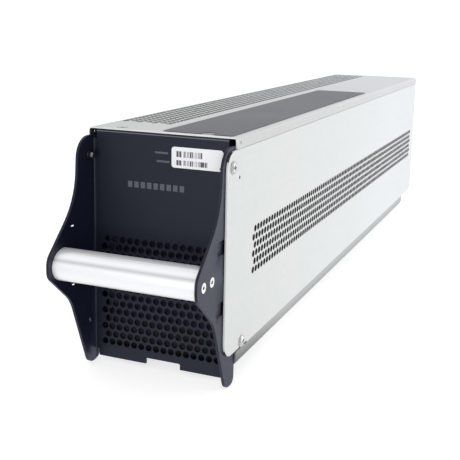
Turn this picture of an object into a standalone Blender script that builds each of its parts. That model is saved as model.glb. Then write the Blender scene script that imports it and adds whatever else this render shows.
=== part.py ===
"""Server rack battery: a hot-swap battery module in a galvanised case with a fixed front handle.

Sizes are in millimetres in the module's own frame: x across, y from the front panel's face towards the
rear, z up from a level 160 mm under the case's top. The empty "module" carries every piece and puts the
origin at the centre of the whole object's footprint, on the surface that it stands on.
"""

import math

import bmesh
import bpy
from mathutils import Matrix, Vector

MM = 0.001
GAP = 0.3  # clearance between touching pieces

# Case
WIDTH = 114.0
HEIGHT = 160.0  # the case's top
FLOOR = -7.0  # the case's underside
DEPTH = 650.0
SHEET = 1.2
FLOOR_END = 594.0  # the floor sheet stops here, the sides run on to DEPTH
FLOOR_BEND = 10.0
COVER_BEND = 3.0
COVER_FLANGE = 8.0
HEM = 10.0  # joggled part of the cover's flange, inside the case's sides
EAR_REACH = 16.5
EAR_CORNER = 12.0
EAR_BOTTOM = 8.5
SLIT = 1.2
SLIT_END = 26.0

# Front bracket
PLATE = 2.0
PLATE_OUTER = WIDTH / 2 - SHEET - GAP
PLATE_INNER = PLATE_OUTER - PLATE
PANEL_TOP = HEIGHT - SHEET - GAP
PANEL_BOTTOM = -11.8
PLATE_TOP = 154.4
LOBE_BOTTOM = -15.4
NOSE = -59.0  # the handle plates' foremost point
LOBE_BACK = 5.2  # rear edge of the lobes under the panel's corners
LOBE_STEP = 7.4
RELIEF = 3.0
CORNER_NOTCH = (50.8, 151.8)  # inner side and foot of the gap at each upper corner of the panel
NOTCH = (-11.6, 16.0)
POCKETS = (41.5, 84.0)  # the undersides of the two pockets pressed into each plate
POCKET = (-29.0, -10.0, 10.3, 1.4)  # front, back, height and depth
POCKET_SLIT = 1.2

# Handle bar
BAR_Y = -42.2
BAR_Z = 70.0
BAR_HALF_DEPTH = 13.4
BAR_HALF_HEIGHT = 11.2
HANDLE_SCREW_OFFSET = 6.6
HANDLE_SCREW_HEAD = 3.5
HANDLE_SCREW_LENGTH = 14.0

# Countersunk screws through the cover's front edge into the bracket's top flange: (x, y)
COVER_SCREW = (33.5, 6.0)
COVER_SCREW_HEAD = 4.0
TOP_FLANGE = (47.0, 13.0)  # half width and rear edge of the bracket's top flange

# Screws through the case's front ears: (y, z)
UPPER_EAR_SCREW = (-7.2, 140.8)
LOWER_EAR_SCREW = (14.5, 12.2)
PILOT_HOLE = (5.0, 132.4)
PILOT_RADIUS = 1.2
EAR_SCREW_HEAD = (4.4, 1.5)  # radius and height
PLATE_RIVET = (-7.0, 18.5)
SCREW_SHANK = 1.9
SCREW_HOLE = SCREW_SHANK + 0.4

# Battery string
BLOCKS = 8
BLOCK_DEPTH = 65.0
BLOCK_HEIGHT = 151.0
BLOCK_LEFT = -51.0
BLOCK_RIGHT = 43.0
BLOCK_PITCH = BLOCK_DEPTH + 0.6
STRING_START = 27.0
BLOCK_BOTTOM = 2.3
POST_RADIUS = 5.0
POST_HEIGHT = 1.5
POST_INSET = 17.0
LID_DEPTH = 9.0
LID_STEP = 0.8
LINK_THICKNESS = 2.0
LINK_HALF_WIDTH = 7.0
RETAINER_Y = 5.0
RETAINER_BACK = 21.0
RETAINER = 1.5
RETAINER_TOP = 137.0
RETAINER_OPENING = (50.0, 19.0)  # half width and top of the opening at its foot
RETAINER_WINDOW = ((-50.0, 24.0), (-36.0, 122.0))  # low and high corner of the window beside the pad

# Rear connector
REAR_PANEL_Y = 590.8
REAR_FOOT = 18.0
VENT_SLOT = (4.5, 2.0)  # half width and half height
VENT_SLOT_PITCH = 13.0
VENT_SLOT_ROWS = (95.0, 110.0, 125.0)
REAR_SCREW_X = 40.0
REAR_SCREW_Y = 582.0
CONNECTOR_Z = 45.0
CONNECTOR_HALF_WIDTH = 38.0
CONNECTOR_HALF_HEIGHT = 15.0
CONNECTOR_FRONT = 580.0
CONNECTOR_REAR = 636.0
FLOAT_PLATE_Y = 592.6
FLOAT_PLATE = 1.5
FLOAT_PLATE_EDGE = (53.5, -22.0, 24.0)  # half width, bottom and top about the connector's axis
SIGNAL_CAVITY = (10.0, 9.0, 22.0)  # half width, half height and depth
FLOAT_X = 1.2
FLOAT_Z = 2.0
SHOULDER_X = 49.0
CAVITY = (20.0, 18.0, 30.0)  # width, height, depth
CAVITY_X = 24.0
BLADE = (12.0, 2.5)

# Labels: low and high corner across the face
FRONT_LABEL = ((8.5, 135.9), (47.0, 150.4))
TOP_LABEL = ((0.0, 2.0), (52.6, 378.0))
LABEL = 0.2

# Fuse holder and board: low and high corners
FUSE_HOLDER = ((-44.0, 561.0, 96.0), (-14.0, 579.0, 140.0))
FUSE_WALL = 4.0
FUSE_RADIUS = 5.5
BOARD = ((0.0, 98.0), (40.0, 140.0))
BOARD_Y = (582.0, 583.6)

# Leads
LEAD_RADIUS = 2.4
LEAD_RED = (0.45, 0.02, 0.02)
LEAD_BLACK = (0.02, 0.02, 0.02)

LATHE_STEPS = 20
TURN_TO_AXIS = {
    "X": Matrix(((0, 0, 1, 0), (1, 0, 0, 0), (0, 1, 0, 0), (0, 0, 0, 1))),
    "Y": Matrix.Rotation(math.radians(90), 4, "X"),
    "Z": Matrix.Identity(4),
}
HEAD_TO = {
    "+Z": (0, 0, 0),
    "+X": (0, math.radians(90), 0),
    "-X": (0, math.radians(-90), 0),
    "+Y": (math.radians(-90), 0, 0),
    "-Z": (math.radians(180), 0, 0),
}

for leftover in list(bpy.data.objects):
    bpy.data.objects.remove(leftover)

parts = bpy.data.collections.new("server_rack_battery")
cutters = bpy.data.collections.new("cutters")
for collection in (parts, cutters):
    bpy.context.scene.collection.children.link(collection)

module = bpy.data.objects.new("module", None)
module.location = (0, -(DEPTH + NOSE) / 2 * MM, -LOBE_BOTTOM * MM)
parts.objects.link(module)


def material(name, colour, metallic, roughness):
    made = bpy.data.materials.new(name)
    made.use_nodes = True
    shader = made.node_tree.nodes["Principled BSDF"]
    shader.inputs["Base Color"].default_value = (*colour, 1)
    shader.inputs["Metallic"].default_value = metallic
    shader.inputs["Roughness"].default_value = roughness
    return made


GALVANISED = ((0.72, 0.74, 0.74), 0.8, 0.45)
BLACK_POWDER = ((0.02, 0.022, 0.03), 0.0, 0.6)
SATIN_ALUMINIUM = ((0.78, 0.78, 0.79), 1.0, 0.35)
ZINC = ((0.7, 0.7, 0.69), 1.0, 0.3)
BLACK_PLASTIC = ((0.03, 0.03, 0.033), 0.0, 0.5)
GREY_FOAM = ((0.12, 0.12, 0.13), 0.0, 0.95)
FIBRE_SHEET = ((0.35, 0.34, 0.3), 0.0, 0.8)
TINNED_COPPER = ((0.75, 0.72, 0.66), 1.0, 0.3)
BLOCK_CASE = ((0.06, 0.06, 0.07), 0.0, 0.55)


def named(name, mesh, finish, parent=None, rotation=(0, 0, 0), location=(0, 0, 0)):
    """A mesh as a finished sub-part with a material of its own."""
    part = bpy.data.objects.new(name, mesh)
    part.rotation_euler = rotation
    part.location = Vector(location) * MM
    part.parent = parent or module
    mesh.materials.append(material(name, *finish))
    parts.objects.link(part)
    return part


def rounded(corners, segments=5):
    """Outline points from (u, v, radius) corners, each radius drawn as an arc."""
    points = []
    for i, (u, v, radius) in enumerate(corners):
        here = Vector((u, v))
        if radius == 0:
            points.append(here)
            continue
        back = (Vector(corners[i - 1][:2]) - here).normalized()
        ahead = (Vector(corners[(i + 1) % len(corners)][:2]) - here).normalized()
        half = back.angle(ahead) / 2
        centre = here + (back + ahead).normalized() * (radius / math.sin(half))
        start = here + back * (radius / math.tan(half)) - centre
        stop = here + ahead * (radius / math.tan(half)) - centre
        first = math.atan2(start.y, start.x)
        turn = (math.atan2(stop.y, stop.x) - first + math.pi) % (2 * math.pi) - math.pi
        for k in range(segments + 1):
            angle = first + turn * k / segments
            points.append(centre + Vector((math.cos(angle), math.sin(angle))) * radius)
    return points


def prism(axis, corners, low, high, segments=5):
    """A flat outline of (u, v, radius) corners, extruded along axis from low to high.

    u and v are y and z for axis X, x and z for axis Y, and x and y for axis Z."""
    points = rounded(corners, segments)
    curve = bpy.data.curves.new("outline", "CURVE")
    curve.dimensions = "2D"
    curve.fill_mode = "BOTH"
    curve.extrude = (high - low) / 2 * MM
    spline = curve.splines.new("POLY")
    spline.points.add(len(points) - 1)
    for slot, point in zip(spline.points, points):
        slot.co = (point.x * MM, point.y * MM, 0, 1)
    spline.use_cyclic_u = True
    guide = bpy.data.objects.new("outline", curve)
    parts.objects.link(guide)
    graph = bpy.context.evaluated_depsgraph_get()
    mesh = bpy.data.meshes.new_from_object(guide.evaluated_get(graph))
    bpy.data.objects.remove(guide)
    middle = (low + high) / 2 * MM
    shift = Matrix.Translation((0, 0, -middle if axis == "Y" else middle))
    tidy = bmesh.new()
    tidy.from_mesh(mesh)
    bmesh.ops.remove_doubles(tidy, verts=tidy.verts, dist=1e-7)
    bmesh.ops.transform(tidy, matrix=TURN_TO_AXIS[axis] @ shift, verts=tidy.verts)
    bmesh.ops.recalc_face_normals(tidy, faces=tidy.faces)
    tidy.to_mesh(mesh)
    tidy.free()
    return mesh


def box(low, high):
    """A box between two corners."""
    mesh = bpy.data.meshes.new("box")
    cube = bmesh.new()
    bmesh.ops.create_cube(cube, size=1)
    size = [(b - a) * MM for a, b in zip(low, high)]
    middle = [(a + b) / 2 * MM for a, b in zip(low, high)]
    bmesh.ops.scale(cube, vec=size, verts=cube.verts)
    bmesh.ops.translate(cube, vec=middle, verts=cube.verts)
    cube.to_mesh(mesh)
    cube.free()
    return mesh


def cone(axis, centre, low, high, radius_low, radius_high=None, segments=20):
    """A cylinder or cone along axis from low to high. centre holds the other two coordinates in order."""
    mesh = bpy.data.meshes.new("cone")
    turned = bmesh.new()
    radius_high = radius_low if radius_high is None else radius_high
    ends = (radius_high, radius_low) if axis == "Y" else (radius_low, radius_high)
    bmesh.ops.create_cone(
        turned,
        cap_ends=True,
        segments=segments,
        radius1=ends[0] * MM,
        radius2=ends[1] * MM,
        depth=(high - low) * MM,
    )
    middle = (low + high) / 2
    place = {
        "X": (middle, centre[0], centre[1]),
        "Y": (centre[0], middle, centre[1]),
        "Z": (centre[0], centre[1], middle),
    }[axis]
    turn = Matrix.Translation(Vector(place) * MM) @ TURN_TO_AXIS[axis]
    bmesh.ops.transform(turned, matrix=turn, verts=turned.verts)
    turned.to_mesh(mesh)
    turned.free()
    return mesh


def combine(target, operation, *tools):
    """Cuts, joins or intersects target with each tool, kept as a hidden guide."""
    for mesh in tools:
        tool = bpy.data.objects.new(f"{target.name}_tool", mesh)
        tool.parent = target.parent
        tool.location = target.location
        tool.hide_render = True
        tool.display_type = "WIRE"
        cutters.objects.link(tool)
        modifier = target.modifiers.new(operation.lower(), "BOOLEAN")
        modifier.operation = operation
        modifier.solver = "EXACT"
        modifier.object = tool
    return target


def cut(target, *tools):
    return combine(target, "DIFFERENCE", *tools)


def lathe(name, profile, finish, side, location, parent=None, closed=False):
    """A turned piece. Its profile's (radius, height) points run down its outer side, heights towards side."""
    mesh = bpy.data.meshes.new(name)
    ring = bmesh.new()
    verts = [ring.verts.new((radius * MM, 0, height * MM)) for radius, height in profile]
    for a, b in zip(verts, verts[1:] + (verts[:1] if closed else [])):
        ring.edges.new((a, b))
    ring.to_mesh(mesh)
    ring.free()
    part = named(name, mesh, finish, parent, HEAD_TO[side], location)
    screw = part.modifiers.new("turn", "SCREW")
    screw.steps = LATHE_STEPS
    screw.render_steps = LATHE_STEPS
    screw.use_merge_vertices = True
    screw.merge_threshold = 0.00001
    screw.use_smooth_shade = True
    return part


def truss_head_screw(name, side, location, length):
    """A low-headed screw whose head rests GAP clear of location, with a dished drive recess."""
    head_radius, head_height = EAR_SCREW_HEAD
    top = GAP + head_height
    profile = [
        (0, top - 0.8),
        (1.2, top),
        (head_radius * 0.6, top),
        (head_radius * 0.9, top - 0.6),
        (head_radius, top - 1.1),
        (head_radius, GAP),
        (SCREW_SHANK, GAP),
        (SCREW_SHANK, -length),
        (0, -length),
    ]
    return lathe(name, profile, ZINC, side, location)


def flat_head_screw(name, side, location, head_radius, head_height, length, shank=SCREW_SHANK):
    """A countersunk screw whose head is flush with location, with a dished drive recess."""
    profile = [
        (0, -0.9),
        (1.3, 0),
        (head_radius, 0),
        (shank, -head_height),
        (shank, -length),
        (0, -length),
    ]
    return lathe(name, profile, ZINC, side, location)


def handle_plate_outline():
    """Side view of one handle plate, (y, z, radius): a bell that carries the bar at its nose."""
    back = PLATE + 0.2
    return [
        (LOBE_BACK, LOBE_BOTTOM, 5),
        (LOBE_BACK, LOBE_STEP, 0),
        (back, LOBE_STEP, 0),
        (back, PANEL_TOP, 0),
        (-0.5, PANEL_TOP, 0),
        (-0.5, PLATE_TOP, 0),
        (-20.0, PLATE_TOP, 15),
        (-23.0, 111.5, 50),
        (NOSE, 76.5, 11),
        (NOSE, 64.0, 9),
        (-31.5, 40.0, 30),
        (-9.5, LOBE_BOTTOM, 9),
    ]


def panel_lower_edge():
    """Front view of what is cut away under the panel, (x, z, radius): two bend reliefs and a notch."""
    side = PLATE_INNER + 0.3
    relief = PLATE_INNER - RELIEF
    relief_top = PANEL_BOTTOM + 5.5
    notch_top = PANEL_BOTTOM + 4.5
    return [
        (side, 2 * LOBE_BOTTOM, 0),
        (side, relief_top, 0),
        (relief, relief_top, 1),
        (relief, PANEL_BOTTOM, 0),
        (NOTCH[1], PANEL_BOTTOM, 0),
        (NOTCH[1], notch_top, 1),
        (NOTCH[0], notch_top, 1),
        (NOTCH[0], PANEL_BOTTOM, 0),
        (-relief, PANEL_BOTTOM, 0),
        (-relief, relief_top, 1),
        (-side, relief_top, 0),
        (-side, 2 * LOBE_BOTTOM, 0),
    ]


def make_front_bracket():
    right = [
        (PLATE_INNER, 0, 1),
        (PLATE_INNER, NOSE - 2, 0),
        (PLATE_OUTER, NOSE - 2, 0),
        (PLATE_OUTER, PLATE + 6, 0),
        (PLATE_INNER, PLATE + 6, 0),
        (PLATE_INNER, PLATE, 0),
    ]
    left = [(-x, y, radius) for x, y, radius in reversed(right)]
    bracket = named("front_bracket", prism("Z", right + left, -20, HEIGHT), BLACK_POWDER)
    combine(bracket, "INTERSECT", prism("X", handle_plate_outline(), -WIDTH, WIDTH, 7))
    cut(bracket, prism("Y", panel_lower_edge(), -1.3, PLATE + 0.6, 3))
    notch_side, notch_foot = CORNER_NOTCH
    for low, high in ((-WIDTH, -notch_side), (notch_side, WIDTH)):
        cut(bracket, box((low, -0.6, notch_foot), (high, PLATE + 1, HEIGHT + 1)))
    flange_half, flange_back = TOP_FLANGE
    flange_top = PANEL_TOP - 0.05
    flange = [
        (0.5, flange_top - PLATE, 0),
        (flange_back, flange_top - PLATE, 0),
        (flange_back, flange_top, 0),
        (0.5, flange_top, 0),
    ]
    combine(bracket, "UNION", prism("X", flange, -flange_half, flange_half))
    for x in (-COVER_SCREW[0], COVER_SCREW[0]):
        hole = cone("Z", (x, COVER_SCREW[1]), flange_top - PLATE - 1, HEIGHT, SCREW_HOLE, segments=16)
        cut(bracket, hole)
    for low, high in ((-PLATE_OUTER, -PLATE_INNER), (PLATE_INNER, PLATE_OUTER)):
        head = HANDLE_SCREW_HEAD + 0.4
        radii = (SCREW_HOLE, head) if low > 0 else (head, SCREW_HOLE)
        for y in (BAR_Y - HANDLE_SCREW_OFFSET, BAR_Y + HANDLE_SCREW_OFFSET):
            cut(bracket, cone("X", (y, BAR_Z), low - 0.05, high + 0.05, *radii))
        cut(bracket, cone("X", UPPER_EAR_SCREW, low - 1, high + 1, SCREW_HOLE))
        cut(bracket, cone("X", PLATE_RIVET, low - 1, high + 1, 1.5, segments=12))
        front, back, height, depth = POCKET
        outer_face = max(low, high, key=abs)
        for z in POCKETS:
            top = z + height
            pocket = [(front, z, 4), (back, z, 0), (back, top, 0), (front, top, 2)]
            cut(bracket, prism("X", pocket, outer_face - depth, outer_face + depth, 4))
            slit = box((low - 1, front - 2, top - POCKET_SLIT), (high + 1, front + 2, top))
            cut(bracket, slit)


def make_handle_bar():
    sides = 40
    section = [
        (
            BAR_Y + BAR_HALF_DEPTH * math.cos(2 * math.pi * k / sides),
            BAR_Z + BAR_HALF_HEIGHT * math.sin(2 * math.pi * k / sides),
            0,
        )
        for k in range(sides)
    ]
    end = PLATE_INNER - GAP
    hole = HANDLE_SCREW_LENGTH + 2
    bar = named("handle_bar", prism("X", section, -end, end), SATIN_ALUMINIUM)
    for y in (BAR_Y - HANDLE_SCREW_OFFSET, BAR_Y + HANDLE_SCREW_OFFSET):
        for low, high in ((-end - 1, -end + hole), (end - hole, end + 1)):
            cut(bar, cone("X", (y, BAR_Z), low, high, SCREW_HOLE, segments=16))


def make_fasteners():
    for side, sign, word in (("+X", 1, "right"), ("-X", -1, "left")):
        for y, place in ((BAR_Y - HANDLE_SCREW_OFFSET, "front"), (BAR_Y + HANDLE_SCREW_OFFSET, "rear")):
            flat_head_screw(
                f"handle_screw_{word}_{place}",
                side,
                (sign * PLATE_OUTER, y, BAR_Z),
                HANDLE_SCREW_HEAD,
                PLATE,
                HANDLE_SCREW_LENGTH,
            )
        for (y, z), wall, place in (
            (UPPER_EAR_SCREW, PLATE, "upper"),
            (LOWER_EAR_SCREW, RETAINER, "lower"),
        ):
            truss_head_screw(
                f"ear_screw_{word}_{place}", side, (sign * WIDTH / 2, y, z), SHEET + GAP + wall + 4
            )
            nut = [(3.0, 2.8), (3.0, 0.8), (3.5, 0.8), (3.5, 0), (SCREW_HOLE, 0), (SCREW_HOLE, 2.8)]
            face = WIDTH / 2 - SHEET - GAP - wall - GAP
            opposite = "-X" if sign > 0 else "+X"
            lathe(
                f"clinch_nut_{word}_{place}",
                nut,
                ZINC,
                opposite,
                (sign * face, y, z),
                closed=True,
            )


def make_cover_screws():
    x, y = COVER_SCREW
    for sign, word in ((1, "right"), (-1, "left")):
        spot = (sign * x, y, HEIGHT)
        flat_head_screw(f"cover_screw_{word}", "+Z", spot, COVER_SCREW_HEAD, SHEET, 6)


def make_plate_rivets():
    """Small rivets through the plates, low beside the panel."""
    for sign, word, side in ((1, "right", "-X"), (-1, "left", "+X")):
        profile = [(0, 1.6), (1.2, 1.5), (2.2, 0.9), (2.5, GAP), (1.2, GAP), (1.2, -PLATE), (0, -PLATE)]
        y, z = PLATE_RIVET
        lathe(f"plate_rivet_{word}", profile, ZINC, side, (sign * PLATE_INNER, y, z))


def make_chassis():
    half = WIDTH / 2
    top = HEIGHT - COVER_FLANGE - GAP
    inner_bend = FLOOR_BEND - SHEET
    section = [
        (half, top, 0),
        (half, FLOOR, FLOOR_BEND),
        (-half, FLOOR, FLOOR_BEND),
        (-half, top, 0),
        (-half + SHEET, top, 0),
        (-half + SHEET, FLOOR + SHEET, inner_bend),
        (half - SHEET, FLOOR + SHEET, inner_bend),
        (half - SHEET, top, 0),
    ]
    start = LOBE_BACK + GAP
    side_view = [
        (start, FLOOR - 2, 0),
        (start, EAR_BOTTOM, 0),
        (-EAR_REACH, EAR_BOTTOM, EAR_CORNER),
        (-EAR_REACH, top, EAR_CORNER),
        (DEPTH, top, 2),
        (DEPTH, EAR_BOTTOM - SLIT, 10),
        (FLOOR_END, EAR_BOTTOM - SLIT, 0),
        (FLOOR_END, FLOOR - 2, 0),
    ]
    chassis = named("chassis", prism("Y", section, -2 * EAR_REACH, DEPTH + 5, 6), GALVANISED)
    combine(chassis, "INTERSECT", prism("X", side_view, -WIDTH, WIDTH, 6))
    slit = box((-WIDTH, -EAR_REACH, EAR_BOTTOM - SLIT), (WIDTH, SLIT_END, EAR_BOTTOM))
    cut(chassis, slit)
    for centre, radius in (
        (UPPER_EAR_SCREW, SCREW_HOLE),
        (LOWER_EAR_SCREW, SCREW_HOLE),
        (PILOT_HOLE, PILOT_RADIUS),
    ):
        cut(chassis, cone("X", centre, -WIDTH, WIDTH, radius, segments=16))
    for x in (-REAR_SCREW_X, REAR_SCREW_X):
        low, high = FLOOR - 0.05, FLOOR + SHEET + 0.05
        cut(chassis, cone("Z", (x, REAR_SCREW_Y), low, high, 3.7, SCREW_HOLE))


def make_top_cover():
    half = WIDTH / 2
    flange = HEIGHT - COVER_FLANGE
    hem_outer = half - SHEET - GAP
    hem_inner = hem_outer - SHEET
    right = [
        (half, HEIGHT, COVER_BEND),
        (half, flange, 0),
        (hem_outer, flange, 0),
        (hem_outer, flange - HEM, 0),
        (hem_inner, flange - HEM, 0),
        (hem_inner, flange + SHEET, 0),
        (half - SHEET, flange + SHEET, 0),
        (half - SHEET, HEIGHT - SHEET, COVER_BEND - SHEET),
    ]
    left = [(-x, z, radius) for x, z, radius in reversed(right)]
    cover = named("top_cover", prism("Y", right + left, 0, DEPTH, 4), GALVANISED)
    front = (hem_outer + GAP / 2, PLATE + 2 * GAP, HEIGHT - SHEET - 0.05)
    cut(cover, box((-front[0], -1, flange - HEM - 1), front))
    cut(cover, cone("X", (6.0, flange + 4), -WIDTH, WIDTH, PILOT_RADIUS, segments=12))
    for x in (-COVER_SCREW[0], COVER_SCREW[0]):
        low, high = HEIGHT - SHEET - 0.05, HEIGHT + 0.05
        cut(cover, cone("Z", (x, COVER_SCREW[1]), low, high, SCREW_HOLE, COVER_SCREW_HEAD + GAP))


def make_retainer():
    """Sheet close behind the panel, held by the lower ear screws through the flanges at its sides."""
    outer = WIDTH / 2 - SHEET - GAP
    inner = outer - RETAINER
    web = RETAINER_Y + RETAINER
    plan = [
        (-outer, RETAINER_BACK, 0),
        (-outer, RETAINER_Y, 2.5),
        (outer, RETAINER_Y, 2.5),
        (outer, RETAINER_BACK, 0),
        (inner, RETAINER_BACK, 0),
        (inner, web, 1),
        (-inner, web, 1),
        (-inner, RETAINER_BACK, 0),
    ]
    retainer = named("front_retainer", prism("Z", plan, EAR_BOTTOM, RETAINER_TOP), BLACK_POWDER)
    cut(retainer, cone("X", LOWER_EAR_SCREW, -WIDTH, WIDTH, SCREW_HOLE, segments=16))
    foot_half, foot_top = RETAINER_OPENING
    cut(retainer, box((-foot_half, RETAINER_Y - 1, 0), (foot_half, web + 1, foot_top)))
    (left, bottom), (right, top) = RETAINER_WINDOW
    window = [(left, bottom, 3), (right, bottom, 3), (right, top, 3), (left, top, 3)]
    cut(retainer, prism("Y", window, RETAINER_Y - 1, web + 1, 3))


def make_block(number):
    """One sealed block on its side: container, stepped lid towards +x and two terminal posts."""
    front = STRING_START + number * BLOCK_PITCH
    back = front + BLOCK_DEPTH
    top = BLOCK_BOTTOM + BLOCK_HEIGHT
    lid = BLOCK_RIGHT - LID_DEPTH
    section = [
        (BLOCK_LEFT, front, 2),
        (lid, front, 0),
        (lid, front + LID_STEP, 0),
        (BLOCK_RIGHT, front + LID_STEP, 2),
        (BLOCK_RIGHT, back - LID_STEP, 2),
        (lid, back - LID_STEP, 0),
        (lid, back, 0),
        (BLOCK_LEFT, back, 2),
    ]
    name = f"battery_block_{number + 1}"
    block = named(name, prism("Z", section, BLOCK_BOTTOM, top, 2), BLOCK_CASE)
    for z in (BLOCK_BOTTOM + POST_INSET, top - POST_INSET):
        post = cone(
            "X",
            ((front + back) / 2, z),
            BLOCK_RIGHT - 1,
            BLOCK_RIGHT + POST_HEIGHT,
            POST_RADIUS,
            segments=12,
        )
        combine(block, "UNION", post)
    return block


def post_y(number):
    return STRING_START + number * BLOCK_PITCH + BLOCK_DEPTH / 2


def make_link(number):
    """Flat bar from one block's post to the next one's, alternately at the bottom and the top."""
    low_row = number % 2 == 0
    z = BLOCK_BOTTOM + (POST_INSET if low_row else BLOCK_HEIGHT - POST_INSET)
    start = post_y(number) - LINK_HALF_WIDTH
    stop = post_y(number + 1) + LINK_HALF_WIDTH
    low, high = z - LINK_HALF_WIDTH, z + LINK_HALF_WIDTH
    corner = LINK_HALF_WIDTH - 1
    outline = [(start, low, corner), (stop, low, corner), (stop, high, corner), (start, high, corner)]
    face = BLOCK_RIGHT + POST_HEIGHT + GAP
    name = f"block_link_{number + 1}"
    named(name, prism("X", outline, face, face + LINK_THICKNESS, 3), TINNED_COPPER)


def make_padding():
    string_end = STRING_START + BLOCKS * BLOCK_PITCH - 0.6
    top = BLOCK_BOTTOM + BLOCK_HEIGHT
    left, right = BLOCK_LEFT + 1, BLOCK_RIGHT - 1
    retainer_back = RETAINER_Y + RETAINER
    pads = {
        "top_pad": (
            (left, STRING_START, top + GAP),
            (right, string_end, HEIGHT - SHEET - GAP),
            GREY_FOAM,
        ),
        "end_pad_front": (
            (left + 4, retainer_back + GAP, BLOCK_BOTTOM),
            (right, STRING_START - GAP, 130),
            GREY_FOAM,
        ),
        "end_pad_rear": (
            (left, string_end + GAP, 8),
            (right, string_end + 5, 145),
            GREY_FOAM,
        ),
    }
    for name, (low, high, finish) in pads.items():
        named(name, box(low, high), finish)


def make_bottom_liner():
    """Insulating pad under the string, between the floor's bends."""
    half = WIDTH / 2 - FLOOR_BEND
    string_end = STRING_START + BLOCKS * BLOCK_PITCH
    low = (-half, RETAINER_Y + RETAINER + 2, FLOOR + SHEET + GAP)
    high = (half, string_end + 3, BLOCK_BOTTOM - GAP)
    named("bottom_liner", box(low, high), FIBRE_SHEET)


def slot_outline(u, v, half_length, half_width):
    """Round-ended slot about (u, v)."""
    radius = half_width - 0.05
    return [
        (u - half_length, v - half_width, radius),
        (u + half_length, v - half_width, radius),
        (u + half_length, v + half_width, radius),
        (u - half_length, v + half_width, radius),
    ]


def make_rear_panel():
    """Closing sheet between the sides, with a foot folded forward onto the floor."""
    half = WIDTH / 2 - SHEET - GAP
    foot_bottom = FLOOR + SHEET + GAP
    panel_top = HEIGHT - COVER_FLANGE - HEM - 1
    section = [
        (REAR_PANEL_Y, foot_bottom + SHEET, 0.8),
        (REAR_PANEL_Y, panel_top, 0),
        (REAR_PANEL_Y + SHEET, panel_top, 0),
        (REAR_PANEL_Y + SHEET, foot_bottom, 2),
        (REAR_PANEL_Y - REAR_FOOT, foot_bottom, 0),
        (REAR_PANEL_Y - REAR_FOOT, foot_bottom + SHEET, 0),
    ]
    panel = named("rear_panel", prism("X", section, -half + 1, half - 1, 3), GALVANISED)
    for low, high in ((-half, -half + FLOOR_BEND), (half - FLOOR_BEND, half)):
        corner = (low, REAR_PANEL_Y - 20, FLOOR), (high, REAR_PANEL_Y + 3, FLOOR + FLOOR_BEND + 1.5)
        cut(panel, box(*corner))
    window_x = CONNECTOR_HALF_WIDTH + 4
    window_z = CONNECTOR_HALF_HEIGHT + 5
    window = box(
        (-window_x, REAR_PANEL_Y - 2, CONNECTOR_Z - window_z),
        (window_x, REAR_PANEL_Y + 4, CONNECTOR_Z + window_z),
    )
    cut(panel, window)
    for x in (-SHOULDER_X, SHOULDER_X):
        hole = cone(
            "Y", (x, CONNECTOR_Z), REAR_PANEL_Y - 2, REAR_PANEL_Y + 4, SCREW_HOLE, segments=16
        )
        cut(panel, hole)
    for x in (-REAR_SCREW_X, REAR_SCREW_X):
        foot_hole = cone(
            "Z", (x, REAR_SCREW_Y), foot_bottom - 1, foot_bottom + SHEET + 1, SCREW_HOLE, segments=16
        )
        cut(panel, foot_hole)
    for z in VENT_SLOT_ROWS:
        for column in range(-3, 4):
            x = column * VENT_SLOT_PITCH
            cut(panel, prism("Y", slot_outline(x, z, *VENT_SLOT), REAR_PANEL_Y - 2, REAR_PANEL_Y + 4, 2))
    for word, sign in (("left", -1), ("right", 1)):
        flat_head_screw(
            f"rear_screw_{word}", "-Z", (sign * REAR_SCREW_X, REAR_SCREW_Y, FLOOR), 3.3, SHEET, 5
        )
        shoulder = [
            (0, 2.4),
            (1.5, 3.2),
            (4.2, 3.2),
            (4.5, 2.9),
            (4.5, 0.5),
            (SCREW_SHANK, 0.5),
            (SCREW_SHANK, -7),
            (0, -7),
        ]
        lathe(
            f"shoulder_screw_{word}",
            shoulder,
            ZINC,
            "+Y",
            (sign * SHOULDER_X, FLOAT_PLATE_Y + FLOAT_PLATE, CONNECTOR_Z),
        )


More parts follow.
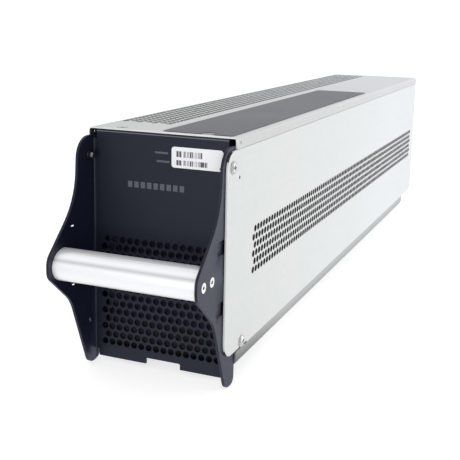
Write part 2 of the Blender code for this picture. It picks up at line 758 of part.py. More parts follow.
def make_connector():
    """Blind-mate connector: a float plate that slides across, and a housing that slides up in it."""
    carriage = bpy.data.objects.new("float_carriage", None)
    carriage.parent = module
    carriage.location = Vector((0, FLOAT_PLATE_Y, CONNECTOR_Z)) * MM
    parts.objects.link(carriage)
    wide = CONNECTOR_HALF_WIDTH
    tall = CONNECTOR_HALF_HEIGHT

    edge, bottom, top = FLOAT_PLATE_EDGE
    outline = [(-edge, bottom, 4), (edge, bottom, 4), (edge, top, 4), (-edge, top, 4)]
    plate = named("float_plate", prism("Y", outline, 0, FLOAT_PLATE, 3), ZINC, carriage)
    window = box((-wide - GAP, -1, -tall - GAP), (wide + GAP, 3, tall + GAP + FLOAT_Z))
    cut(plate, window)
    slot_half = SCREW_HOLE + FLOAT_X + 0.2
    for x in (-SHOULDER_X, SHOULDER_X):
        cut(plate, prism("Y", slot_outline(x, 0, slot_half, SCREW_HOLE), -1, 3, 4))

    front = CONNECTOR_FRONT - FLOAT_PLATE_Y
    rear = CONNECTOR_REAR - FLOAT_PLATE_Y
    housing = named(
        "connector_housing", box((-wide, front, -tall), (wide, rear, tall)), BLACK_PLASTIC, carriage
    )
    flange = FLOAT_PLATE + 0.4
    combine(
        housing,
        "UNION",
        box((-wide - 3.5, flange, -tall - 3), (wide + 3.5, flange + 2.5, tall + 3)),
        box((-wide - 2.2, -3, -6), (wide + 2.2, -0.4, 6)),
    )
    cavity_x, cavity_z, cavity_y = CAVITY
    blade_x, blade_z = BLADE
    blade_low = -cavity_z / 2 + 1.5
    for x in (-CAVITY_X, CAVITY_X):
        cut(
            housing,
            box(
                (x - cavity_x / 2, rear - cavity_y, -cavity_z / 2),
                (x + cavity_x / 2, rear + 1, cavity_z / 2),
            ),
            box(
                (x - blade_x / 2 - GAP, front - 1, blade_low - GAP),
                (x + blade_x / 2 + GAP, rear, blade_low + blade_z + GAP),
            ),
        )
    half_width, half_height, depth = SIGNAL_CAVITY
    cut(housing, box((-half_width, rear - depth, -half_height), (half_width, rear + 1, half_height)))
    named("signal_insert", signal_insert(rear), BLACK_PLASTIC, carriage)
    for word, x in (("positive", -CAVITY_X), ("negative", CAVITY_X)):
        blade = prism(
            "X",
            [
                (front - 6, blade_low, 0.5),
                (rear - 4, blade_low, 1),
                (rear - 4, blade_low + blade_z, 1),
                (front - 6, blade_low + blade_z, 0.5),
            ],
            x - blade_x / 2,
            x + blade_x / 2,
            3,
        )
        named(f"power_contact_{word}", blade, TINNED_COPPER, carriage)


def signal_insert(rear):
    """Block with a stepped face at the bottom of the middle cavity."""
    half_width, half_height, depth = SIGNAL_CAVITY
    side = half_height - GAP
    foot, step, face = rear - depth + GAP, rear - 16, rear - 10
    outline = [
        (foot, -side, 0),
        (step, -side, 0),
        (step, -side / 2, 0),
        (face, -side / 2, 0),
        (face, side / 2, 0),
        (step, side / 2, 0),
        (step, side, 0),
        (foot, side, 0),
    ]
    return prism("X", outline, -half_width + GAP, half_width - GAP)


def make_fuse_and_board():
    low, high = FUSE_HOLDER
    holder = named("fuse_holder", box(low, high), BLACK_PLASTIC)
    trough = [edge + FUSE_WALL for edge in low], [edge - FUSE_WALL for edge in high]
    trough[1][1] = high[1] + 1
    cut(holder, box(*trough))
    middle = ((low[0] + high[0]) / 2, low[1] + 11.5)
    fuse = cone("Z", middle, trough[0][2] + GAP, trough[1][2] - GAP, FUSE_RADIUS, segments=16)
    named("string_fuse", fuse, ((0.75, 0.72, 0.62), 0.0, 0.5))
    (left, bottom), (right, top) = BOARD
    board = [(left, bottom, 2), (right, bottom, 2), (right, top, 2), (left, top, 2)]
    named("monitor_board", prism("Y", board, *BOARD_Y, 2), ((0.02, 0.18, 0.08), 0.0, 0.4))


def smooth_route(points, per_span=6):
    """Points on a Catmull-Rom curve through the route's own points."""
    ends = [2 * points[0] - points[1], *points, 2 * points[-1] - points[-2]]
    route = []
    for a, b, c, d in zip(ends, ends[1:], ends[2:], ends[3:]):
        for k in range(per_span):
            t = k / per_span
            route.append(
                0.5
                * (
                    2 * b
                    + (c - a) * t
                    + (2 * a - 5 * b + 4 * c - d) * t * t
                    + (3 * b - a - 3 * c + d) * t**3
                )
            )
    return [*route, points[-1]]


def make_lead(name, route, colour):
    """Insulated cable along a hand-laid route."""
    points = smooth_route([Vector(p) for p in route])
    curve = bpy.data.curves.new(name, "CURVE")
    curve.dimensions = "3D"
    curve.bevel_depth = LEAD_RADIUS * MM
    curve.bevel_resolution = 2
    curve.use_fill_caps = True
    spline = curve.splines.new("POLY")
    spline.points.add(len(points) - 1)
    for slot, point in zip(spline.points, points):
        slot.co = (*(point * MM), 1)
    curve.materials.append(material(name, colour, 0.0, 0.5))
    lead = bpy.data.objects.new(name, curve)
    lead.parent = module
    parts.objects.link(lead)


def make_leads():
    face = BLOCK_RIGHT + POST_HEIGHT + GAP
    top_row = BLOCK_BOTTOM + BLOCK_HEIGHT - POST_INSET
    contact_y = CONNECTOR_FRONT - 6 - 1.2
    contact_z = CONNECTOR_Z - CAVITY[1] / 2 + 1.5 + BLADE[1] / 2
    string_end = STRING_START + BLOCKS * BLOCK_PITCH
    make_lead(
        "lead_negative",
        [
            (face + 3.2, post_y(0), top_row),
            (face + 6.0, post_y(0) + 12, top_row - 4),
            (face + 6.2, post_y(0) + 60, 118),
            (face + 6.2, 200, 116),
            (face + 6.2, 360, 116),
            (face + 6.2, 500, 112),
            (face + 6.0, string_end, 95),
            (face - 4, 563, 60),
            (CAVITY_X + 4, 564, contact_z + 4),
            (CAVITY_X, contact_y - 3, contact_z),
            (CAVITY_X, contact_y, contact_z),
        ],
        LEAD_BLACK,
    )
    make_lead(
        "lead_positive",
        [
            (face + 3.2, post_y(BLOCKS - 1), top_row),
            (face + 6, post_y(BLOCKS - 1) + 14, top_row + 2),
            (face + 3, string_end + 9, top_row + 10),
            (10, string_end + 12, 146.5),
            (-20, string_end + 13, 147),
            (-29, 571.5, 144.5),
            (-29, 572.5, 140.5),
        ],
        LEAD_RED,
    )
    make_lead(
        "lead_fused",
        [
            (-29, 570, 95.5),
            (-29, 570, 90),
            (-28, 566, 70),
            (-CAVITY_X, 563, contact_z + 12),
            (-CAVITY_X, 564, contact_z + 3),
            (-CAVITY_X, contact_y - 3, contact_z),
            (-CAVITY_X, contact_y, contact_z),
        ],
        LEAD_RED,
    )


def make_labels():
    for name, axis, ((u0, v0), (u1, v1)), low, colour in (
        ("front_label", "Y", FRONT_LABEL, -GAP - LABEL, (0.85, 0.86, 0.88)),
        ("top_label", "Z", TOP_LABEL, HEIGHT + GAP, (0.2, 0.21, 0.22)),
    ):
        corners = [(u0, v0, 2), (u1, v0, 2), (u1, v1, 2), (u0, v1, 2)]
        film = named(name, prism(axis, corners, low, low + LABEL, 3), (colour, 0.0, 0.4))
        if axis == "Z":
            cut(film, cone("Z", COVER_SCREW, low - 1, low + 1, COVER_SCREW_HEAD + 1))


make_front_bracket()
make_handle_bar()
make_fasteners()
make_cover_screws()
make_plate_rivets()
make_chassis()
make_top_cover()
make_retainer()
for index in range(BLOCKS):
    make_block(index)
for index in range(BLOCKS - 1):
    make_link(index)
make_padding()
make_bottom_liner()
make_rear_panel()
make_connector()
make_fuse_and_board()
make_leads()
make_labels()
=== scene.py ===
"""Looks of the server rack battery: perforated sheet metal, powder coat, satin bar, labels and lights.

Sizes are in millimetres in the module's own frame, as the CAD has it: x across, y from the front panel's
face towards the rear, z up from a level CASE_TOP under the case's top. Axes 0, 1 and 2 are x, y and z.
"""

import math

import bmesh
import bpy
from mathutils import Matrix, Quaternion, Vector


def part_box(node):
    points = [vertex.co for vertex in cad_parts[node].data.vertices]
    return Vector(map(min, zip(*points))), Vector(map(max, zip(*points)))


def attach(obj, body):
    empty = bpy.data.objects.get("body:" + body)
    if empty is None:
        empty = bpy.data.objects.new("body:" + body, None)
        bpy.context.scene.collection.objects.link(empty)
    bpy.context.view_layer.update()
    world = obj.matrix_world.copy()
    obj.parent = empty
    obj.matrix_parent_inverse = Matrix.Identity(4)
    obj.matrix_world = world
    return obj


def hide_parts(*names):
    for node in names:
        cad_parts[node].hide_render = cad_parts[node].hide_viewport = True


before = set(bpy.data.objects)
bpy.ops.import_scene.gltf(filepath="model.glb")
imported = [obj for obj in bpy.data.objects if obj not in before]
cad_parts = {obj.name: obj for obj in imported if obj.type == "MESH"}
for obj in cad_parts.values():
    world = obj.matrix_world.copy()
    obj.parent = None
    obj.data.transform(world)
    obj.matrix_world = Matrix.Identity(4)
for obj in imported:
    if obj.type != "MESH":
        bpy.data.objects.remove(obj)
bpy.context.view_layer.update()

MM = 0.001
CASE_TOP = 160
ORIGIN = Vector((0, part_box("top_cover")[0].y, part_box("top_cover")[1].z - CASE_TOP * MM))
CASE = "case"

# Meshes: vertices this close (in metres) are one, and the angle from which an edge stays sharp
WELD = 1e-6
SHARP_ANGLE = 32

# Camera: its place, its angles in degrees, its lens and its vertical shift
CAMERA_PLACE = Vector((263.3, -520.1, 240.7))
CAMERA_AZIMUTH = 22.11
CAMERA_ELEVATION = 11.33
CAMERA_ROLL = 1.19
CAMERA_LENS = 66.7
CAMERA_SHIFT = -0.10

# Vents: the hole's radius, then each field's rows and columns, the pitches along and across its rows and
# the centre of its first hole. ROW_AXES has the axes along and across the rows, by the axis of the holes.
HOLE_RADIUS = 2.55
HOLE_SIDES = 16
FRONT_VENT = (14, 16, (6.0, 6.05), (-45.3, 0.5))
SIDE_VENT = (6, 99, (6.0, 6.1), (35.0, 59.1))
TOP_VENT = (7, 96, (6.2, 6.0), (40.0, -49.7))
ROW_AXES = {0: (1, 2), 1: (0, 2), 2: (1, 0)}
FRONT_CUT = (-3, 4)

# Paint: how near to a face it still lies on the face, and how deep the painted shade on the walls of a hole
# reaches, which is a little less than the sheet's thickness; then the painted shade's colour
SKIN = 0.1
WALL = 1.15
PAINTED_SHADE = (0.03, 0.036, 0.036)

# Screw heads: the cross recess, the hexagonal socket, and how far down the painted shade in the recess and
# shank reaches
CROSS = (4.0, 0.9, 0.8)  # length, width and depth
SOCKET = (1.3, 1.3)  # radius and depth
SHANK = 20
SOCKET_SHADE = (0.05, 0.05, 0.06)
RECESS_SHADE = (0.28, 0.28, 0.28)

# Galvanised sheet: the dark and the light tone at the front and at the rear, and where the rear ones start;
# the change from front to rear is painted light, lighter and bluer towards the rear
ZINC_FRONT = ((0.65, 0.68, 0.665), (0.775, 0.805, 0.79))
ZINC_REAR = ((0.75, 0.775, 0.795), (0.88, 0.905, 0.925))
ZINC_REAR_START = 500

# Painted shade along the case's lower edge: its top, how far back the shade thins out, and the share that
# is left of it at the top and at the rear
LOWER_SHADE_TOP = 7.3
LOWER_SHADE_LENGTH = 110
LOWER_SHADE_AT_TOP = 0.62
LOWER_SHADE_AT_REAR = 0.55
LOWER_EDGE_SHADE = (0.03, 0.034, 0.04)

# The cover: the rim that the painted shade in its hole walls stays clear of, and the painted shade on its
# side flanges
COVER_RIM = Vector((3.5, 1, 0))
FLANGE_SHADE_SHARE = 0.3
FLANGE_SHADE = (0.4, 0.41, 0.4)

# Painted shade in the unlit gap at the panel's upper left corner, and a painted highlight along the bend at
# its top edge
CORNER = ((-56.9, -1, 146), (-50, 12, 158.5))
TOP_BEND = (156.9, 157.6)
TOP_BEND_HIGHLIGHT = (0.12, 0.125, 0.14)

# Powder coat: its colour and the tints of its gloss and of its sheen
COAT = (0.002, 0.0025, 0.007)
COAT_GLOSS = (0.72, 0.8, 1, 1)
COAT_SHEEN = (0.25, 0.35, 1, 1)

# Handle bar: the height of the painted dark reflection, a grey line along it, how far the grey spreads and
# how strong it is
BAR_MIDDLE = 75.8
BAR_BAND = 2
BAR_SHARE = 0.7
BAR_DARK_REFLECTION = (0.45, 0.47, 0.5)

# Printing on the panel, in x and z
PRINT_GREY = (0.085, 0.09, 0.105)
GAUGE_BARS = 9
GAUGE_START = (-25.8, 118.9)
GAUGE_BAR = (3.4, 4.4)
GAUGE_PITCH = 5.05
DASHES = ((-4.5, 144.6), (-3.2, 138.6))
DASH = (10.0, 1.4)

# Front label: the width of a code bar and the share of bars left blank, the size of each code row and how
# far it starts from the label's edges, and the square mark in the corner
FILM_WHITE = (0.9, 0.94, 1.0)
CODE_BAR = 0.42
CODE_BLANK = 0.4
CODE_INK = (0.09, 0.09, 0.12)
UPPER_ROW = (20, 4.2)
LOWER_ROW = (24, 3.6)
ROW_INSET = 3
UPPER_ROW_DROP = 7
LOWER_ROW_RISE = 1.8
MARK = (1.4, 1.4)
MARK_INSET = (2.6, 1.2)
MARK_INK = (0.1, 0.1, 0.13)

# Top label: its tones, where the darker front has faded out, and its rows of print in x and y, each one
# shorter than the row before
FILM_GREY = (0.13, 0.142, 0.165)
FILM_FRONT_GREY = (0.07, 0.075, 0.085)
FILM_FRONT_SHARE = 0.55
FILM_FADE = 120
ROW_INK = (0.09, 0.1, 0.11)
PRINT_ROWS = 3
PRINT_ROW = (30, 3.5)
PRINT_START = (8, 150)
PRINT_PITCH = 14
PRINT_SHORTER = 6

# Brightness of the surroundings at the horizon, well above or below it, and where they are seen directly
SKY_LEVEL = 0.52
SKY_STEEP = 0.9
SKY_SEEN = 1.05
SKY_HEIGHTS = (0.1, 0.8)  # the sines of the heights between which the brightness changes

# Floor: half its side and its drop under the object, in metres, its tones and its own brightness
FLOOR_HALF = 6
FLOOR_DROP = 0.0002
FLOOR_GREYS = ((0.55, 0.55, 0.55), (0.58, 0.58, 0.58))
FLOOR_GLOW = 1.2

# Lights: place, aim, width and height in metres, and power in watts
LIGHTS = {
    "rear_right": ((1.9, 1.7, 0.1), (0, 0.1, 0.08), (2.4, 2.4), 22),
    "front_low": ((0.4, -2.2, 0.3), (0, -0.35, 0.08), (2.0, 1.4), 20),
}


def place(points):
    """Module coordinates in millimetres as a position in the frame."""
    return ORIGIN + Vector(points) * MM


def node_box(name):
    """A node's lowest and highest corner in module millimetres."""
    return [(corner - ORIGIN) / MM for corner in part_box(name)]


def others(axis):
    """The two axes across the given one."""
    return [other for other in range(3) if other != axis]


# ---------------------------------------------------------------- materials


class Shader:
    """A material's node tree, with short calls to add and join its nodes."""

    def __init__(self, name, metallic=0.0, roughness=0.5):
        self.material = bpy.data.materials.new(name)
        self.material.use_nodes = True
        self.tree = self.material.node_tree
        self.surface = self.tree.nodes["Principled BSDF"]
        self.surface.inputs["Metallic"].default_value = metallic
        self.surface.inputs["Roughness"].default_value = roughness
        self.point = self.add("ShaderNodeTexCoord").outputs["Object"]
        split = self.add("ShaderNodeSeparateXYZ")
        self.feed(split.inputs[0], self.point)
        self.coordinates = split.outputs

    def add(self, kind, **settings):
        node = self.tree.nodes.new(kind)
        for key, value in settings.items():
            setattr(node, key, value)
        return node

    def feed(self, socket, value):
        if isinstance(value, bpy.types.NodeSocket):
            self.tree.links.new(value, socket)
        else:
            socket.default_value = value

    def math(self, operation, *values):
        node = self.add("ShaderNodeMath", operation=operation)
        for socket, value in zip(node.inputs, values):
            self.feed(socket, value)
        return node.outputs[0]

    def stretched(self, scale):
        node = self.add("ShaderNodeVectorMath", operation="MULTIPLY")
        self.feed(node.inputs[0], self.point)
        self.feed(node.inputs[1], Vector(scale))
        return node.outputs[0]

    def noise(self, scale, detail, stretch=(1, 1, 1)):
        node = self.add("ShaderNodeTexNoise")
        self.feed(node.inputs["Vector"], self.stretched(stretch))
        node.inputs["Scale"].default_value = scale
        node.inputs["Detail"].default_value = detail
        return node.outputs["Fac"]

    def crystals(self, scale):
        """Three random values from 0 to 1 for each cell."""
        cells = self.add("ShaderNodeTexVoronoi")
        self.feed(cells.inputs["Vector"], self.point)
        cells.inputs["Scale"].default_value = scale
        split = self.add("ShaderNodeSeparateColor")
        self.feed(split.inputs[0], cells.outputs["Color"])
        return split.outputs

    def ramp(self, value, low, high, start=0.0, stop=1.0):
        """Value mapped from start..stop to low..high."""
        node = self.add("ShaderNodeMapRange")
        self.feed(node.inputs["Value"], value)
        node.inputs["From Min"].default_value = start
        node.inputs["From Max"].default_value = stop
        node.inputs["To Min"].default_value = low
        node.inputs["To Max"].default_value = high
        return node.outputs["Result"]

    def mix(self, factor, first, second):
        node = self.add("ShaderNodeMix", data_type="RGBA")
        self.feed(node.inputs["Factor"], factor)
        for socket, value in ((node.inputs["A"], first), (node.inputs["B"], second)):
            self.feed(socket, value if isinstance(value, bpy.types.NodeSocket) else (*value, 1))
        return node.outputs["Result"]

    def along(self, axis):
        """The point's module coordinate along an axis, in millimetres."""
        return self.math("MULTIPLY_ADD", self.coordinates[axis], 1 / MM, -ORIGIN[axis] / MM)

    def within(self, value, low, high):
        """1 where value lies from low to high."""
        return self.math("COMPARE", value, (low + high) / 2, (high - low) / 2)

    def both(self, first, second):
        return self.math("MULTIPLY", first, second)

    def either(self, masks):
        joined = masks[0]
        for mask in masks[1:]:
            joined = self.math("MAXIMUM", joined, mask)
        return joined

    def patch(self, axes, low, size):
        """1 inside a rectangle across two axes, given by its low corner and its size."""
        u = self.within(self.along(axes[0]), low[0], low[0] + size[0])
        v = self.within(self.along(axes[1]), low[1], low[1] + size[1])
        return self.both(u, v)

    def cuboid(self, low, high):
        """1 inside a box given by its low and high corner."""
        inside = self.within(self.along(0), low[0], high[0])
        for axis in (1, 2):
            inside = self.both(inside, self.within(self.along(axis), low[axis], high[axis]))
        return inside

    def disc(self, axes, centre, radius):
        """1 inside a circle across two axes."""
        squares = []
        for axis, middle in zip(axes, centre):
            offset = self.math("SUBTRACT", self.along(axis), middle)
            squares.append(self.both(offset, offset))
        return self.math("LESS_THAN", self.math("ADD", *squares), radius**2)

    def base(self):
        """What feeds the base colour now."""
        return self.surface.inputs["Base Color"].links[0].from_socket

    def colour(self, value):
        self.feed(self.surface.inputs["Base Color"], value)

    def paint(self, mask, colour):
        """Lays colour over the base colour where mask is 1."""
        self.colour(self.mix(mask, self.base(), colour))

    def rough(self, value):
        self.feed(self.surface.inputs["Roughness"], value)

    def bump(self, height, depth, strength):
        """Bumps from height, depth millimetres from lowest to highest."""
        node = self.add("ShaderNodeBump")
        node.inputs["Distance"].default_value = depth * MM
        node.inputs["Strength"].default_value = strength
        self.feed(node.inputs["Height"], height)
        self.feed(self.surface.inputs["Normal"], node.outputs["Normal"])


def galvanised(name):
    """Zinc-coated sheet: faint spangle, rolled streaks along the case and cloudy patches, with painted
    light that makes it lighter and bluer towards the rear.
    """
    shader = Shader(name, metallic=0.3)
    spangle = shader.crystals(240)
    streaks = shader.noise(60, 2, (8, 0.4, 8))
    clouds = shader.noise(7, 4)
    speckle = shader.ramp(spangle[0], -0.05, 0.05)
    grain = shader.math("ADD", speckle, shader.ramp(streaks, -0.12, 0.12))
    tone = shader.math("ADD", grain, shader.ramp(clouds, 0.35, 0.65))
    # painted light: the sheet grows lighter and bluer from the front to the rear
    backwards = shader.ramp(shader.along(1), 0, 1, 0, ZINC_REAR_START)
    shader.colour(shader.mix(backwards, shader.mix(tone, *ZINC_FRONT), shader.mix(tone, *ZINC_REAR)))
    glints = shader.ramp(spangle[1], -0.03, 0.03)
    shader.rough(shader.math("ADD", shader.ramp(clouds, 0.5, 0.6), glints))
    shader.bump(streaks, 0.02, 0.15)
    return shader


def powder_coat(name):
    """Fine-textured powder coat: orange-peel bumps and slightly lighter grains."""
    shader = Shader(name)
    grain = shader.noise(2600, 2)
    patches = shader.noise(14, 3)
    tone = shader.math("ADD", shader.ramp(grain, -0.25, 0.25), shader.ramp(patches, 0.35, 0.65))
    light = [1.35 * c for c in COAT]
    dark = [0.8 * c for c in COAT]
    shader.colour(shader.mix(tone, dark, light))
    shader.rough(shader.ramp(grain, 0.4, 0.5))
    shader.surface.inputs["Specular IOR Level"].default_value = 0.5
    shader.surface.inputs["Specular Tint"].default_value = COAT_GLOSS
    shader.surface.inputs["Sheen Weight"].default_value = 0.1
    shader.surface.inputs["Sheen Roughness"].default_value = 0.4
    shader.surface.inputs["Sheen Tint"].default_value = COAT_SHEEN
    shader.bump(grain, 0.05, 0.3)
    return shader


def satin_aluminium(name):
    """Clear-anodised extrusion with fine lines along x, and a painted dark reflection as a soft grey line
    along its face.
    """
    shader = Shader(name, metallic=0.45)
    lines = shader.noise(900, 3, (0.02, 1, 1))
    clouds = shader.noise(30, 3)
    tone = shader.math("ADD", shader.ramp(lines, -0.15, 0.15), shader.ramp(clouds, 0.4, 0.6))
    shader.colour(shader.mix(tone, (0.93, 0.95, 0.99), (0.98, 0.99, 1)))
    distance = shader.math("ABSOLUTE", shader.math("SUBTRACT", shader.along(2), BAR_MIDDLE))
    # painted dark reflection: a soft grey line along the bar
    shader.paint(shader.ramp(distance, BAR_SHARE, 0, 0, BAR_BAND), BAR_DARK_REFLECTION)
    shader.rough(shader.ramp(lines, 0.3, 0.4))
    shader.bump(lines, 0.01, 0.2)
    return shader


def plated(name, dark=(0.5, 0.5, 0.48), light=(0.78, 0.78, 0.76), roughness=0.3):
    """Plated small part with fine mottling."""
    shader = Shader(name, metallic=1.0)
    mottle = shader.noise(700, 3)
    shader.colour(shader.mix(mottle, dark, light))
    shader.rough(shader.ramp(mottle, roughness - 0.08, roughness + 0.08))
    shader.bump(mottle, 0.02, 0.2)
    return shader


def moulded(name, colour, roughness=0.5):
    """Moulded plastic with a spark-eroded grain."""
    shader = Shader(name)
    grain = shader.noise(1500, 2)
    patches = shader.noise(25, 3)
    tone = shader.math("ADD", shader.ramp(grain, -0.2, 0.2), shader.ramp(patches, 0.3, 0.7))
    light = [min(1, 1.35 * c + 0.004) for c in colour]
    dark = [0.7 * c for c in colour]
    shader.colour(shader.mix(tone, dark, light))
    shader.rough(shader.ramp(grain, roughness - 0.06, roughness + 0.06))
    shader.bump(grain, 0.03, 0.3)
    return shader


def foam(name, colour):
    """Open-cell foam or pressed fibre: cells in colour and height."""
    shader = Shader(name, roughness=0.95)
    fine = shader.noise(500, 4)
    tone = shader.math("MULTIPLY", shader.crystals(900)[0], fine)
    shader.colour(shader.mix(tone, [0.5 * c for c in colour], [min(1, 1.6 * c) for c in colour]))
    shader.bump(fine, 0.2, 0.6)
    return shader


# ---------------------------------------------------------------- geometry


def finish_piece(piece, node, shader, body=CASE):
    """A piece that stands for a CAD node and on its body."""
    piece.data.materials.clear()
    piece.data.materials.append(shader.material)
    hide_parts(node)
    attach(piece, body)


def new_object(shape, name):
    """A bmesh as a new object in the scene."""
    mesh = bpy.data.meshes.new(name)
    shape.to_mesh(mesh)
    shape.free()
    piece = bpy.data.objects.new(name, mesh)
    bpy.context.scene.collection.objects.link(piece)
    return piece


def copy_of(node, name):
    """A welded copy of a CAD node's mesh as a new piece."""
    welded = bmesh.new()
    welded.from_mesh(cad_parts[node].data)
    bmesh.ops.remove_doubles(welded, verts=welded.verts, dist=WELD)
    bmesh.ops.dissolve_limit(
        welded, angle_limit=math.radians(0.5), verts=welded.verts, edges=welded.edges
    )
    bmesh.ops.triangulate(welded, faces=[f for f in welded.faces if len(f.verts) > 4])
    return new_object(welded, name)


def add_prism(shape, sides, radius, length, middle, axis):
    """Adds a closed prism or cylinder along axis to a bmesh."""
    turn = Matrix.Identity(4) if axis == 2 else Matrix.Rotation(math.radians(90), 4, "XYZ"[1 - axis])
    bmesh.ops.create_cone(
        shape,
        cap_ends=True,
        segments=sides,
        radius1=radius * MM,
        radius2=radius * MM,
        depth=length * MM,
        matrix=Matrix.Translation(place(middle)) @ turn,
    )


def punches(centres, axis, low, high):
    """One object of round punches along axis at centres, between low and high."""
    shape = bmesh.new()
    along, across = ROW_AXES[axis]
    for u, v in centres:
        middle = [(low + high) / 2] * 3
        middle[along] = u
        middle[across] = v
        add_prism(shape, HOLE_SIDES, HOLE_RADIUS, high - low, middle, axis)
    return new_object(shape, "punches")


def staggered(rows, columns, pitch, first):
    """Centres of staggered holes: rows go up in v, and every other row starts half a pitch further in u."""
    return [
        (first[0] + (column + row % 2 / 2) * pitch[0], first[1] + row * pitch[1])
        for row in range(rows)
        for column in range(columns)
    ]


def punched(piece, cutter):
    """Cuts the cutter out of piece and applies the cut."""
    cut = piece.modifiers.new("punch", "BOOLEAN")
    cut.operation = "DIFFERENCE"
    cut.solver = "MANIFOLD"
    cut.object = cutter
    graph = bpy.context.evaluated_depsgraph_get()
    mesh = bpy.data.meshes.new_from_object(piece.evaluated_get(graph))
    piece.modifiers.clear()
    piece.data = mesh
    bpy.data.objects.remove(cutter)


def crease(piece):
    """Smooth shading that breaks at sharp edges."""
    piece.data.shade_smooth()
    piece.data.set_sharp_from_angle(angle=math.radians(SHARP_ANGLE))


def perforated(node, name, field, axis, low, high):
    """A copy of a sheet with a vent field punched through it along axis, from low to high."""
    piece = copy_of(node, name)
    punched(piece, punches(staggered(*field), axis, low, high))
    crease(piece)
    return piece


def front_bracket():
    piece = perforated("front_bracket", "bracket_sheet", FRONT_VENT, 1, *FRONT_CUT)
    finish_piece(piece, "front_bracket", printed_coat())


def printed_coat():
    """The bracket's powder coat, with a charge gauge and two dashes printed in grey on the panel, and a
    painted highlight along the panel's top bend.
    """
    shader = powder_coat("bracket_coat")
    across = others(1)
    marks = [
        shader.patch(across, (GAUGE_START[0] + k * GAUGE_PITCH, GAUGE_START[1]), GAUGE_BAR)
        for k in range(GAUGE_BARS)
    ]
    marks += [shader.patch(across, spot, DASH) for spot in DASHES]
    face = shader.within(shader.along(1), -SKIN, SKIN)
    shader.paint(shader.both(face, shader.either(marks)), PRINT_GREY)
    # painted highlight along the bend at the panel's top edge
    shader.paint(shader.both(face, shader.within(shader.along(2), *TOP_BEND)), TOP_BEND_HIGHLIGHT)
    return shader


def zinc_with_shaded_walls(name, axis, face, low, high):
    """Zinc with near-black painted shade on its cut edges inside a box: the walls of the vents, slits and
    small holes.
    """
    shader = galvanised(name)
    inside = shader.within(shader.math("ABSOLUTE", shader.along(axis)), face - WALL, face - SKIN)
    for across in others(axis):
        inside = shader.both(inside, shader.within(shader.along(across), low[across], high[across]))
    # painted shade on the hole walls inside the box
    shader.paint(inside, PAINTED_SHADE)
    return shader


def case_wrap():
    """The case's bottom and sides, with both side vents, painted shade along its lower edge and in its vent
    walls, and painted shade in the gap at the upper left corner.
    """
    low, high = node_box("chassis")
    piece = perforated("chassis", "case_wrap", SIDE_VENT, 0, low.x - 5, high.x + 5)
    first = Vector((low.x, low.y + 1.5, LOWER_SHADE_TOP))
    shader = zinc_with_shaded_walls("case_zinc", 0, high.x, first, high - Vector((0, 1, 0.5)))
    # painted shade along the lower edge, strongest at the bottom and at the front
    upwards = shader.ramp(shader.along(2), 1, LOWER_SHADE_AT_TOP, low.z + 1, LOWER_SHADE_TOP)
    backwards = shader.ramp(shader.along(1), 1, LOWER_SHADE_AT_REAR, 0, LOWER_SHADE_LENGTH)
    edge = shader.within(shader.along(2), low.z - 1, LOWER_SHADE_TOP)
    shader.paint(shader.both(edge, shader.both(upwards, backwards)), LOWER_EDGE_SHADE)
    # painted shade in the gap at the panel's upper left corner
    shader.paint(shader.cuboid(*CORNER), PAINTED_SHADE)
    finish_piece(piece, "chassis", shader)


def cover():
    """The case's cover, with its vent field, painted shade in its hole walls and on its side flanges, and
    painted shade in the gap at the upper left corner.
    """
    low, high = node_box("top_cover")
    piece = perforated("top_cover", "cover_sheet", TOP_VENT, 2, high.z - 4, high.z + 3)
    shader = zinc_with_shaded_walls("cover_zinc", 2, high.z, low + COVER_RIM, high - COVER_RIM)
    flange = shader.math("GREATER_THAN", shader.math("ABSOLUTE", shader.along(0)), high.x - 2 * SKIN)
    # painted shade on the outer faces of the side flanges
    shader.paint(shader.ramp(flange, 0, FLANGE_SHADE_SHARE), FLANGE_SHADE)
    # painted shade in the gap at the panel's upper left corner
    shader.paint(shader.cuboid(*CORNER), PAINTED_SHADE)
    finish_piece(piece, "top_cover", shader)


def recess_cutters(axis, middle):
    """The two bars of a cross recess, for a screw head whose face has its middle there."""
    length, width, depth = CROSS
    bars = []
    for long, short in (others(axis), others(axis)[::-1]):
        size = Vector((0, 0, 0))
        size[axis] = 2 * depth
        size[long] = length
        size[short] = width
        bar = bmesh.new()
        bmesh.ops.create_cube(bar, size=MM)
        bmesh.ops.scale(bar, vec=size, verts=bar.verts)
        bmesh.ops.translate(bar, vec=place(middle), verts=bar.verts)
        bars.append(new_object(bar, "recess"))
    return bars


def socket_cutter(axis, middle):
    """A hexagonal socket, for a screw head whose face has its middle there."""
    radius, depth = SOCKET
    hexagon = bmesh.new()
    add_prism(hexagon, 6, radius, 2 * depth, middle, axis)
    return new_object(hexagon, "socket")


def screw(node, axis, outward, hexagonal=False):
    """A screw with a cross recess or a hexagonal socket, with painted shade down its middle under the
    head's face.
    """
    low, high = node_box(node)
    middle = (low + high) / 2
    face = high[axis] if outward > 0 else low[axis]
    middle[axis] = face
    piece = copy_of(node, f"{node}_head")
    for cutter in [socket_cutter(axis, middle)] if hexagonal else recess_cutters(axis, middle):
        punched(piece, cutter)
    crease(piece)
    shader = plated(f"{node}_zinc", (0.5, 0.5, 0.5), (0.85, 0.85, 0.84), 0.26)
    across = others(axis)
    inside = shader.disc(across, [middle[a] for a in across], CROSS[0] / 2 + SKIN)
    depths = sorted((face - outward * SKIN, face - outward * SHANK))
    sunk = shader.within(shader.along(axis), *depths)
    # painted shade in the recess or socket and down the shank
    shader.paint(shader.both(inside, sunk), SOCKET_SHADE if hexagonal else RECESS_SHADE)
    finish_piece(piece, node, shader)


def screws():
    for side, outward in (("left", -1), ("right", 1)):
        for height in ("upper", "lower"):
            screw(f"ear_screw_{side}_{height}", 0, outward)
        for end in ("front", "rear"):
            screw(f"handle_screw_{side}_{end}", 0, outward, hexagonal=True)
        screw(f"cover_screw_{side}", 2, 1)


